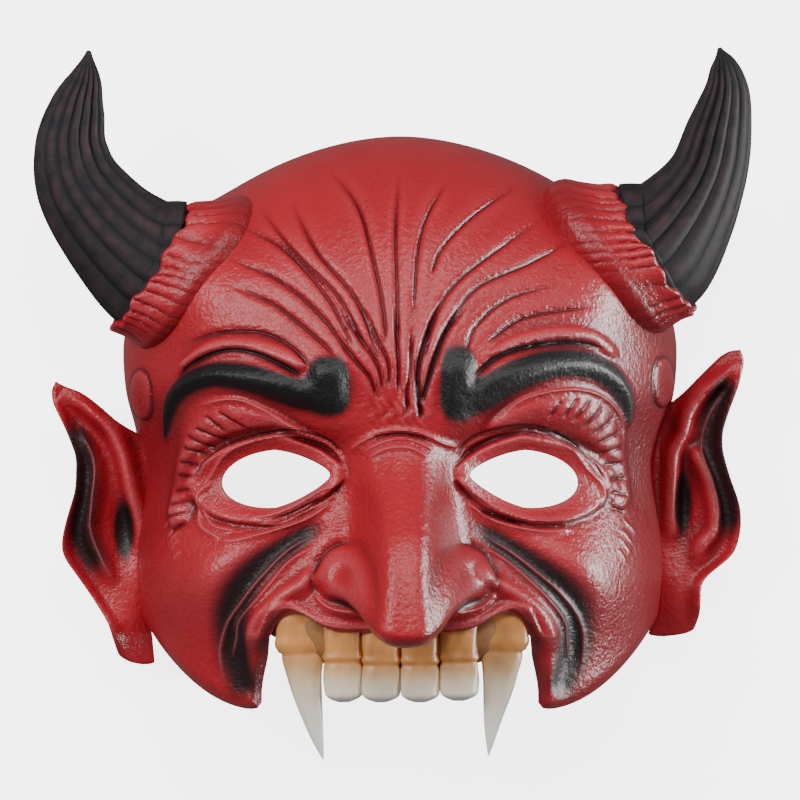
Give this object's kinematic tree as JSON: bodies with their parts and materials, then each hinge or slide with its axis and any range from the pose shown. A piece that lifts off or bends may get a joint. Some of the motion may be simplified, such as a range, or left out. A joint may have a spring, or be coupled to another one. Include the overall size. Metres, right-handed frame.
{
  "type": "devil half mask",
  "caption": "Hollow devil half mask with an open chin: wrinkled brows, hooked nose, eye holes, pointed ears, fluted horns in pleated cuffs, and an upper row of teeth with fangs.",
  "frame": {"origin": "middle of the mask's box on the floor, where the mask lies on its rim", "axes": "+Z out of the face, +Y towards the horn tips, +X to the right of someone who looks at the face"},
  "size_m": [0.2591, 0.2562, 0.1216],
  "materials": {
    "devil_red": "satin red paint over self-skinned foam, black airbrushed over the brows and into the folds",
    "horn_black": "matt charcoal paint over fluted foam",
    "tooth_ivory": "satin ivory and amber paint over foam"
  },
  "bodies": {
    "root": {"mask": "devil_red"}
  },
  "joints": []
}
